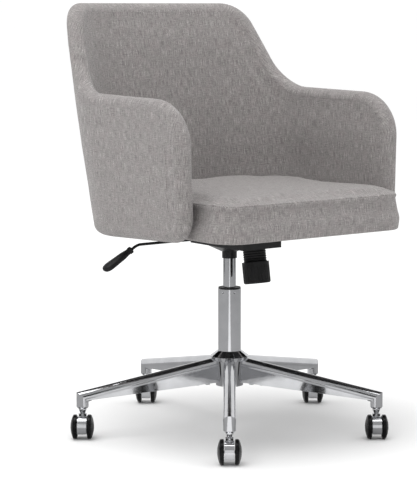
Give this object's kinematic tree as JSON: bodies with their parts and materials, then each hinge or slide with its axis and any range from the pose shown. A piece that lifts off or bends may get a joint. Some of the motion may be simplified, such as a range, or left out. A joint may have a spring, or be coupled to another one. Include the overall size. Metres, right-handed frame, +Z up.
{
  "type": "swivel office chair",
  "caption": "Swivel office chair with a wrap-around upholstered shell and arms, tilting seat, gas lift and a chrome five-leg base on twin-wheel casters.",
  "frame": {"origin": "on the floor plane, on the seat's swivel axis", "axes": "+Z up along the swivel axis, the sitter faces -Y, +X is the sitter's left"},
  "size_m": [0.6884, 0.6652, 0.922],
  "materials": {
    "chrome": "polished chrome plate",
    "zinc_steel": "bright zinc plated steel",
    "black_steel": "black powder coat",
    "black_plastic": "satin moulded nylon",
    "wheel_plastic": "semi-gloss moulded nylon",
    "plywood": "sanded birch plywood",
    "grey_fabric": "heathered grey linen-look weave",
    "dust_fabric": "black non-woven dust cover"
  },
  "bodies": {
    "base": {"base_hub": "chrome", "base_leg_1": "chrome", "base_leg_2": "chrome", "base_leg_3": "chrome", "base_leg_4": "chrome", "base_leg_5": "chrome", "leg_bolts": "zinc_steel", "caster_sockets": "zinc_steel", "column_tube": "chrome", "column_bush": "black_plastic"},
    "gas_rod": {"piston_rod": "chrome", "thrust_bearing": "zinc_steel", "retaining_clip": "zinc_steel"},
    "lift": {"gas_cylinder": "chrome", "mechanism_housing": "black_steel", "pivot_bushes": "zinc_steel", "tension_sleeve": "black_plastic", "tension_spring": "zinc_steel"},
    "release_pin": {"release_pin": "zinc_steel"},
    "lever_cam": {"lever_cam": "zinc_steel"},
    "lever": {"lever_rod": "black_steel", "lever_handle": "black_plastic"},
    "seat": {"seat_plate": "black_steel", "tilt_shaft": "zinc_steel", "shaft_clips": "zinc_steel", "seat_bolts": "zinc_steel", "seat_board": "plywood", "seat_cushion": "grey_fabric", "dust_cover": "dust_fabric", "back_shell": "grey_fabric", "shell_core": "plywood", "shell_bolts": "zinc_steel"},
    "tension_rod": {"tension_bolt": "zinc_steel"},
    "spring_seat": {"spring_seat": "zinc_steel"},
    "knob": {"tension_knob": "black_plastic"},
    "caster_1": {"caster_stem_1": "chrome", "caster_hood_1": "chrome", "caster_axle_1": "zinc_steel"},
    "wheel_left_1": {"wheel_left_1": "wheel_plastic"},
    "wheel_right_1": {"wheel_right_1": "wheel_plastic"},
    "caster_2": {"caster_stem_2": "chrome", "caster_hood_2": "chrome", "caster_axle_2": "zinc_steel"},
    "wheel_left_2": {"wheel_left_2": "wheel_plastic"},
    "wheel_right_2": {"wheel_right_2": "wheel_plastic"},
    "caster_3": {"caster_stem_3": "chrome", "caster_hood_3": "chrome", "caster_axle_3": "zinc_steel"},
    "wheel_left_3": {"wheel_left_3": "wheel_plastic"},
    "wheel_right_3": {"wheel_right_3": "wheel_plastic"},
    "caster_4": {"caster_stem_4": "chrome", "caster_hood_4": "chrome", "caster_axle_4": "zinc_steel"},
    "wheel_left_4": {"wheel_left_4": "wheel_plastic"},
    "wheel_right_4": {"wheel_right_4": "wheel_plastic"},
    "caster_5": {"caster_stem_5": "chrome", "caster_hood_5": "chrome", "caster_axle_5": "zinc_steel"},
    "wheel_left_5": {"wheel_left_5": "wheel_plastic"},
    "wheel_right_5": {"wheel_right_5": "wheel_plastic"}
  },
  "joints": [
    {"name": "seat_swivel", "type": "hinge", "parent": "base", "child": "gas_rod", "pos_m": [0, 0, 0.1], "axis": [0, 0, 1], "continuous": true},
    {"name": "height_lift", "type": "slide", "parent": "gas_rod", "child": "lift", "axis": [0, 0, 1], "range_m": [-0.06, 0]},
    {"name": "lever_lift", "type": "hinge", "parent": "lift", "child": "lever_cam", "pos_m": [-0.03, 0.02, 0.418], "axis": [0, 1, 0], "range_deg": [0, 4.5], "stiffness_Nm_per_rad": 3, "springref_deg": -5.73},
    {"name": "pin_press", "type": "slide", "parent": "lift", "child": "release_pin", "axis": [0, 0, -1], "range_m": [0, 0.0024]},
    {"name": "lever_push", "type": "slide", "parent": "lever_cam", "child": "lever", "axis": [1, 0, 0], "range_m": [0, 0.012]},
    {"name": "seat_tilt", "type": "hinge", "parent": "lift", "child": "seat", "pos_m": [0, -0.032, 0.4375], "axis": [-1, 0, 0], "range_deg": [0, 12], "stiffness_Nm_per_rad": 110, "springref_deg": -9.17, "deforming": ["tension_spring"]},
    {"name": "bolt_rock", "type": "hinge", "parent": "seat", "child": "tension_rod", "pos_m": [0, -0.07993, 0.44001], "axis": [-1, 0, 0], "range_deg": [-12.1, 0.1]},
    {"name": "knob_travel", "type": "slide", "parent": "tension_rod", "child": "spring_seat", "axis": [0, 0.1564, 0.9877], "range_m": [-0.0046, 0.0046]},
    {"name": "knob_turn", "type": "hinge", "parent": "spring_seat", "child": "knob", "pos_m": [0, -0.09387, 0.352], "axis": [0, 0.1564, 0.9877], "range_deg": [-1080, 1080]},
    {"name": "caster_swivel_1", "type": "hinge", "parent": "base", "child": "caster_1", "pos_m": [-0.20135, -0.26146, 0.06], "axis": [0, 0, 1], "continuous": true},
    {"name": "wheel_left_spin_1", "type": "hinge", "parent": "caster_1", "child": "wheel_left_1", "pos_m": [-0.20989, -0.27255, 0.026], "axis": [0.7923, -0.6101, 0], "continuous": true},
    {"name": "wheel_right_spin_1", "type": "hinge", "parent": "caster_1", "child": "wheel_right_1", "pos_m": [-0.20989, -0.27255, 0.026], "axis": [0.7923, -0.6101, 0], "continuous": true},
    {"name": "caster_swivel_2", "type": "hinge", "parent": "base", "child": "caster_2", "pos_m": [0.18644, -0.27229, 0.06], "axis": [0, 0, 1], "continuous": true},
    {"name": "wheel_left_spin_2", "type": "hinge", "parent": "caster_2", "child": "wheel_left_2", "pos_m": [0.1779, -0.28338, 0.026], "axis": [0.7923, -0.6101, 0], "continuous": true},
    {"name": "wheel_right_spin_2", "type": "hinge", "parent": "caster_2", "child": "wheel_right_2", "pos_m": [0.1779, -0.28338, 0.026], "axis": [0.7923, -0.6101, 0], "continuous": true},
    {"name": "caster_swivel_3", "type": "hinge", "parent": "base", "child": "caster_3", "pos_m": [0.31657, 0.09317, 0.06], "axis": [0, 0, 1], "continuous": true},
    {"name": "wheel_left_spin_3", "type": "hinge", "parent": "caster_3", "child": "wheel_left_3", "pos_m": [0.30803, 0.08208, 0.026], "axis": [0.7923, -0.6101, 0], "continuous": true},
    {"name": "wheel_right_spin_3", "type": "hinge", "parent": "caster_3", "child": "wheel_right_3", "pos_m": [0.30803, 0.08208, 0.026], "axis": [0.7923, -0.6101, 0], "continuous": true},
    {"name": "caster_swivel_4", "type": "hinge", "parent": "base", "child": "caster_4", "pos_m": [0.00921, 0.32987, 0.06], "axis": [0, 0, 1], "continuous": true},
    {"name": "wheel_left_spin_4", "type": "hinge", "parent": "caster_4", "child": "wheel_left_4", "pos_m": [0.00067, 0.31878, 0.026], "axis": [0.7923, -0.6101, 0], "continuous": true},
    {"name": "wheel_right_spin_4", "type": "hinge", "parent": "caster_4", "child": "wheel_right_4", "pos_m": [0.00067, 0.31878, 0.026], "axis": [0.7923, -0.6101, 0], "continuous": true},
    {"name": "caster_swivel_5", "type": "hinge", "parent": "base", "child": "caster_5", "pos_m": [-0.31088, 0.1107, 0.06], "axis": [0, 0, 1], "continuous": true},
    {"name": "wheel_left_spin_5", "type": "hinge", "parent": "caster_5", "child": "wheel_left_5", "pos_m": [-0.31942, 0.09961, 0.026], "axis": [0.7923, -0.6101, 0], "continuous": true},
    {"name": "wheel_right_spin_5", "type": "hinge", "parent": "caster_5", "child": "wheel_right_5", "pos_m": [-0.31942, 0.09961, 0.026], "axis": [0.7923, -0.6101, 0], "continuous": true}
  ],
  "couplings": [
    {"joint": "pin_press", "follows": "lever_lift", "m_per_rad": 0.03},
    {"joint": "bolt_rock", "follows": "seat_tilt", "ratio": -1},
    {"joint": "knob_travel", "follows": "knob_turn", "m_per_rad": 0.00023873}
  ]
}
